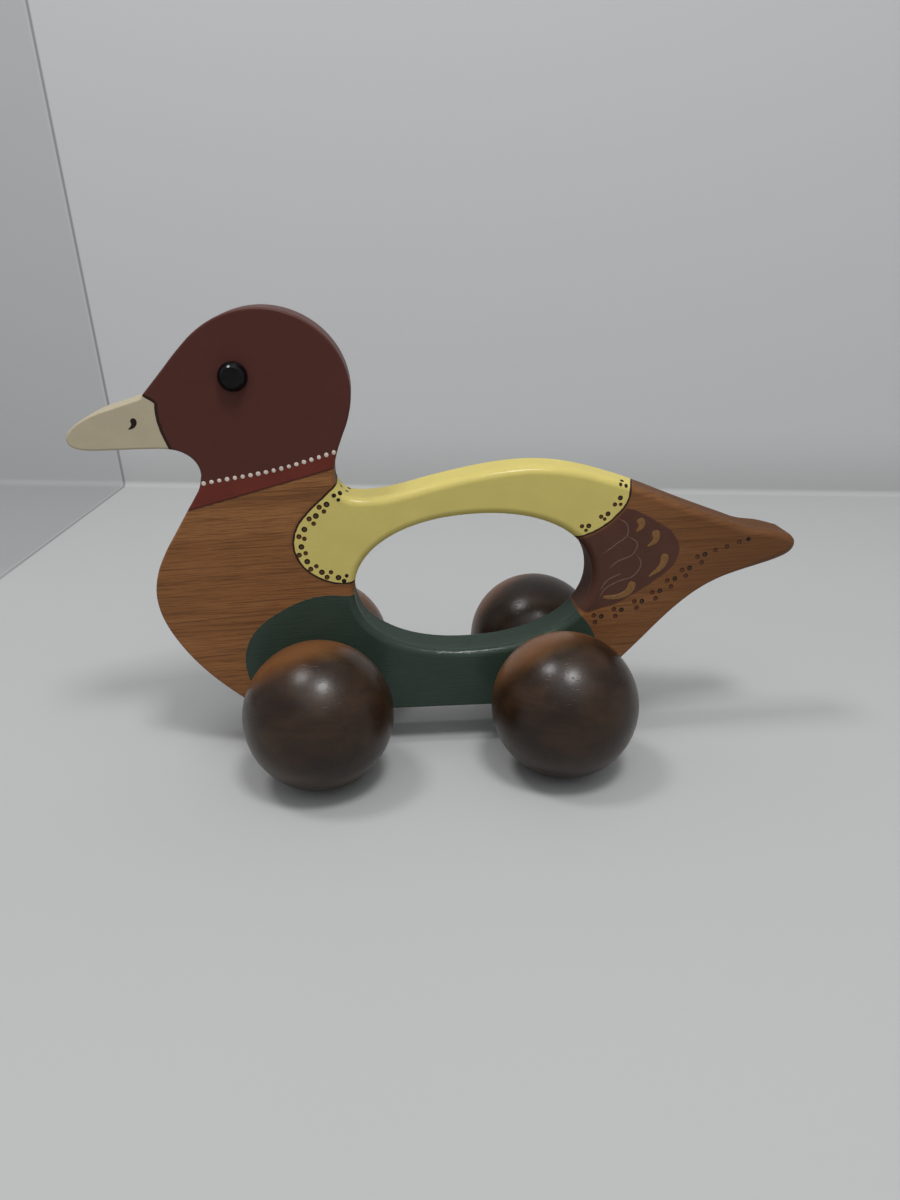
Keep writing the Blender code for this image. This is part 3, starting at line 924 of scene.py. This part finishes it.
def turned_mesh(name, profile, segments, centre, side):
    """A closed profile of (radius, reach) from axis to axis, spun about Y and set at a centre on one side."""
    bm = bmesh.new()
    verts = [bm.verts.new((radius, side * reach, 0)) for radius, reach in profile]
    edges = [bm.edges.new(pair) for pair in zip(verts, verts[1:])]
    bmesh.ops.spin(
        bm, geom=verts + edges, cent=(0, 0, 0), axis=(0, 1, 0), angle=math.tau, steps=segments, use_merge=True
    )
    bmesh.ops.remove_doubles(bm, verts=bm.verts, dist=MERGE_GAP)
    bmesh.ops.recalc_face_normals(bm, faces=bm.faces)
    bmesh.ops.translate(bm, verts=bm.verts, vec=centre)
    mesh = bpy.data.meshes.new(name)
    bm.to_mesh(mesh)
    bm.free()
    mesh.shade_smooth()
    mesh.set_sharp_from_angle(angle=SHARP_TURN)
    return mesh


def make_board():
    node = frame["nodes"]["duck_body"]
    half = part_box("duck_body")[1].y
    loops = sorted(rail_loops(node.data), key=lambda loop: -np.ptp(loop[:, 0]))
    rims = [fine_rim(loop, number == 0) for number, loop in enumerate(loops)]
    rings = [rim.points + rim.inward * rim.edges[:, None] for rim in rims]
    sunk, raised = [], []
    for dots in burnt_dots():
        clear = is_clear(dots[:, :2], rings, dots[:, 2] + BURN_CLEAR)
        sunk.append(dots[clear])
        raised += list(dots[~clear])
    mesh = board_mesh("painted_board", rims, half, np.vstack(sunk))
    store_paint(mesh, half, *sunk)
    board = piece("painted_board", mesh, "duck", board_finish())
    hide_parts("duck_body")
    return board, raised


def make_eyes(lacquer):
    """Buttons with a bevelled rim and a flat face, seated on the board."""
    for name, side in (("left_eye", LEFT), ("right_eye", RIGHT)):
        low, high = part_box(name)
        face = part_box("duck_body")[1].y
        rim = (high.z - low.z) / 2
        rise = max(abs(low.y), abs(high.y)) - face
        bevel, shoulder = EYE_BEVEL * rim, EYE_SHOULDER * rise
        inward, upward = EYE_ROUNDING
        profile = [(0, -EYE_SINK), (rim, -EYE_SINK)]
        for share in np.linspace(0, 1, EYE_STEPS):
            profile.append((rim - bevel * share**inward, shoulder + (rise - shoulder) * share**upward))
        profile.append((0, rise))
        centre = ((low.x + high.x) / 2, side * face, (low.z + high.z) / 2)
        mesh = turned_mesh(name, profile, EYE_SEGMENTS, centre, side)
        button = piece(f"{name}_button", mesh, "duck", lacquer)
        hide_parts(name)


def make_balls(walnut, dowel):
    """Turned balls with a flat and a bore on the side that faces the board, on dowel axles."""
    for joint in frame["joints"]:
        axis = Vector(joint["pos_m"])
        end = joint["child"].split("_")[0]
        axle = frame["nodes"][f"{end}_axle"]
        axle.data.materials.clear()
        axle.data.materials.append(dowel)
        axle_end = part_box(f"{end}_axle")[1]
        bore = axle_end.z - axis.z + BORE_EDGE
        for name, side in (("left", LEFT), ("right", RIGHT)):
            node = f"{end}_{name}_wheel"
            co = np.array([vertex.co for vertex in frame["nodes"][node].data.vertices])
            radius = np.hypot(co[:, 0] - axis.x, co[:, 2] - axis.z).max()
            reach = np.abs(co[:, 1])
            centre = reach.max() - radius
            flat = reach.min() - centre
            bottom = axle_end.y + BORE_EDGE - centre
            profile = [(0, bottom), (bore, bottom), (bore, flat)]
            for angle in np.linspace(math.acos(flat / radius), 0, BALL_STEPS):
                profile.append((radius * math.sin(angle), radius * math.cos(angle)))
            middle = Vector((axis.x, side * centre, axis.z))
            mesh = turned_mesh(node, profile, BALL_SEGMENTS, middle, side)
            way = Vector(PALE_CAP_WAYS[f"{end}_{name}"])
            store(mesh, "pale_cap", [(vertex.co - middle).dot(way) for vertex in mesh.vertices])
            ball = piece(f"{end}_{name}_ball", mesh, joint["child"], walnut)
            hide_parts(node)


class RaisedPaint:
    """Low closed shapes of thick paint, set on the board's faces and gathered in one mesh."""

    def __init__(self, tree):
        self.tree = tree
        self.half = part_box("duck_body")[1].y
        self.bm = bmesh.new()
        self.random = np.random.default_rng(PAINT_SEED)

    def seat(self, x, z, side, slant=0.0):
        """The place seen at (x, z) along a falling line of sight, with the ways across, up and out."""
        high = z + slant * (1 - self.half)
        place, out, _, _ = self.tree.ray_cast(Vector((x, side, high)), Vector((0, -side, -slant)))
        if place is None:
            return None
        across = Vector((1, 0, 0))
        across = (across - out * across.dot(out)).normalized()
        return place, across, out.cross(across), out

    def dot(self, x, z, radius, rise, slant=0.0, sides=(LEFT, RIGHT)):
        """A low round bead."""
        size = radius * self.random.uniform(*DOT_SIZES)
        squash = self.random.uniform(*DOT_SQUASHES)
        for side in sides:
            seat = self.seat(x, z, side, slant)
            if seat is None:
                continue
            place, across, up, out = seat
            rows = [[self.bm.verts.new(place - out * rise)]]
            for share, height in DOT_PROFILE:
                rows.append([])
                for step in range(DOT_SEGMENTS):
                    angle = math.tau * step / DOT_SEGMENTS
                    way = across * math.cos(angle) * squash + up * math.sin(angle) / squash
                    rows[-1].append(self.bm.verts.new(place + way * size * share + out * rise * height))
            rows.append([self.bm.verts.new(place + out * rise * DOT_PROFILE[-1][1])])
            self.skin(rows)

    def skin(self, rows):
        """Faces between rows of points, where an end row is a single point."""
        for low, high in zip(rows, rows[1:]):
            count = max(len(low), len(high))
            for i in range(count):
                j = (i + 1) % count
                corners = [low[i % len(low)], low[j % len(low)], high[j % len(high)], high[i % len(high)]]
                self.bm.faces.new(dict.fromkeys(corners)).smooth = True

    def stroke(self, path, half_widths, rise):
        """A flat-topped bead of paint along a path, of the half widths along it."""
        points = np.array(path)
        ways = np.gradient(points, axis=0)
        for side in (LEFT, RIGHT):
            rows = []
            for (x, z), way, width in zip(points, ways, half_widths):
                seat = self.seat(x, z, side)
                if seat is None:
                    break
                place, _, _, out = seat
                beside = out.cross(Vector((way[0], 0, way[1]))).normalized() * width
                height = min(rise, width / 2)
                row = []
                for step in range(STROKE_SIDES):
                    angle = math.tau * (step + 0.5) / STROKE_SIDES
                    up = math.copysign(math.sqrt(abs(math.sin(angle))), math.sin(angle))
                    row.append(self.bm.verts.new(place + beside * math.cos(angle) + out * height * up))
                rows.append(row)
            if len(rows) == len(points):
                head, tail = (sum((v.co for v in row), Vector()) / len(row) for row in (rows[0], rows[-1]))
                self.skin([[self.bm.verts.new(head)], *rows, [self.bm.verts.new(tail)]])

    def finish(self, name, material):
        bmesh.ops.recalc_face_normals(self.bm, faces=self.bm.faces)
        mesh = bpy.data.meshes.new(name)
        self.bm.to_mesh(mesh)
        self.bm.free()
        piece(name, mesh, "duck", material)


def comma_stroke(places, half_width, loss):
    """Points and half widths of one brush stroke: a round head that thins into a curved tail."""
    curve = flowing(places)
    length = length_of(curve)
    reaches = length * np.linspace(STROKE_START, 1, STROKE_STEPS) ** STROKE_CROWDING
    widths = []
    for reach in reaches:
        past = (reach - half_width) / (length - half_width)
        if past < 0:
            widths.append(math.sqrt(half_width**2 - (half_width - reach) ** 2))
        else:
            widths.append(half_width * (1 - loss * past**STROKE_TAPER))
    return along(curve, reaches)[0], widths


def make_neck_dots(tree):
    paint = RaisedPaint(tree)
    collar = flowing(COLLAR)
    ends = np.array(NECK_DOT_ENDS) * length_of(collar)
    for x, z in along(collar, np.linspace(*ends, NECK_DOTS))[0]:
        paint.dot(x, z, NECK_DOT_RADIUS, DOT_RISE)
    paint.finish("neck_dots", paint_finish("white_dots", WHITE))


def make_edge_dots(tree, raised):
    """Dark dots where the board's edge is rounded, the measured ones on the left only."""
    paint = RaisedPaint(tree)
    for x, z, radius in raised:
        paint.dot(x, z, RAISED_SHARE * radius, EDGE_DOT_RISE)
    for x, z in on_board(EDGE_DOTS):
        paint.dot(x, z, EDGE_DOT_RADIUS, EDGE_DOT_RISE, EDGE_SLANT, sides=(LEFT,))
    paint.finish("edge_dots", paint_finish("burnt_dots", BURNT, EDGE_DOT_ROUGHNESS))


def make_strokes(tree):
    wing, nostrils, feathers = RaisedPaint(tree), RaisedPaint(tree), RaisedPaint(tree)
    for stroke in WING_STROKES:
        wing.stroke(*comma_stroke(*stroke), STROKE_RISE)
    nostrils.stroke(*comma_stroke(*NOSTRIL), STROKE_RISE)
    shares = np.linspace(0, 1, FEATHER_STEPS)
    widths = FEATHER_WIDTH * np.clip(np.minimum(shares, 1 - shares) * FEATHER_TAPER, FEATHER_TIP, 1)
    for feather in FEATHERS:
        curve = flowing(feather)
        path = along(curve, np.linspace(0, length_of(curve), FEATHER_STEPS))[0]
        feathers.stroke(path, widths, FEATHER_RISE)
    wing.finish("wing_strokes", paint_finish("ochre_paint", OCHRE))
    nostrils.finish("nostrils", paint_finish("nostril_paint", BURNT))
    feathers.finish("feather_lines", paint_finish("feather_paint", FEATHER_PINK))


def make_stage():
    """A pale floor that rises into a wall through a small cove. The wall stands askew to the board."""
    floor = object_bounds()[0].z
    start = WALL_BACK - COVE_RADIUS
    profile = [(FLOOR_FRONT, floor)]
    for angle in np.linspace(0, math.pi / 2, COVE_STEPS + 1):
        profile.append((start + COVE_RADIUS * math.sin(angle), floor + COVE_RADIUS * (1 - math.cos(angle))))
    profile.append((WALL_BACK, floor + WALL_HEIGHT))
    places = []
    for y, z in profile:
        for x in (-FLOOR_WIDTH / 2, FLOOR_WIDTH / 2):
            places.append((x, y - math.tan(WALL_TURN) * (x - front_axle.x), z))
    faces = [(2 * i, 2 * i + 1, 2 * i + 3, 2 * i + 2) for i in range(len(profile) - 1)]
    mesh = bpy.data.meshes.new("floor")
    mesh.from_pydata(places, [], faces)
    mesh.shade_smooth()
    mesh.materials.append(floor_finish())
    placed("floor", mesh)


def make_light():
    """A sky that is brightest high over the camera, and two lamps overhead."""
    world = bpy.data.worlds.new("studio")
    world.use_nodes = True
    bpy.context.scene.world = world
    sky = Nodes(world.node_tree)
    nearness = sky.reach(sky.add("ShaderNodeTexCoord").outputs["Generated"], BRIGHT_WAY)
    background = sky.tree.nodes["Background"].inputs
    sky.feed(background["Color"], SKY)
    sky.feed(background["Strength"], sky.ramp(nearness, *BRIGHT_ENDS, SKY_LEVEL, BRIGHT_LEVEL))
    for name, (x, y, power) in LAMPS.items():
        data = bpy.data.lights.new(f"{name}_lamp", "AREA")
        data.shape = "SQUARE"
        data.size = LAMP_SIZE
        data.energy = power
        lamp = placed(f"{name}_lamp", data)
        lamp.location = front_axle.x + x, y, LAMP_HEIGHT
        lamp.rotation_euler = (front_axle - lamp.location).to_track_quat("-Z", "Y").to_euler()


def make_camera():
    data = bpy.data.cameras.new("camera")
    data.lens = CAMERA_LENS
    data.clip_start = CAMERA_NEAR
    camera = placed("camera", data)
    turn = Euler((math.pi / 2 - CAMERA_PITCH, 0, -CAMERA_YAW)).to_matrix()
    turn = turn @ Matrix.Rotation(CAMERA_ROLL, 3, "Z")
    place = Vector(CAMERA_PLACE) + Vector((front_axle.x, 0, 0))
    camera.matrix_world = Matrix.Translation(place) @ turn.to_4x4()
    bpy.context.scene.camera = camera


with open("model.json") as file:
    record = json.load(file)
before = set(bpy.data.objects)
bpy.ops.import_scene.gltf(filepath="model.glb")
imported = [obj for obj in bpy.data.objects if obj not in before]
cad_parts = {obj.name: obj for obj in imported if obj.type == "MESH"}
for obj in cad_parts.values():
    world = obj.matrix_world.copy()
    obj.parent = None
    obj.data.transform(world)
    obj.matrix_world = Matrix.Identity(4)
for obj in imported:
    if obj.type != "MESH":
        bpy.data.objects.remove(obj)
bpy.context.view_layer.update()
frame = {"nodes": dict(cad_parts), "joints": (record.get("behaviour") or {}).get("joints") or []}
front_axle = Vector(frame["joints"][0]["pos_m"])
bpy.context.scene.view_settings.view_transform = "Standard"
board, raised_dots = make_board()
graph = bpy.context.evaluated_depsgraph_get()
tree = BVHTree.FromObject(board, graph)
make_eyes(lacquer_finish())
make_balls(walnut_finish(), dowel_finish())
make_neck_dots(tree)
make_edge_dots(tree, raised_dots)
make_strokes(tree)
make_stage()
make_light()
make_camera()
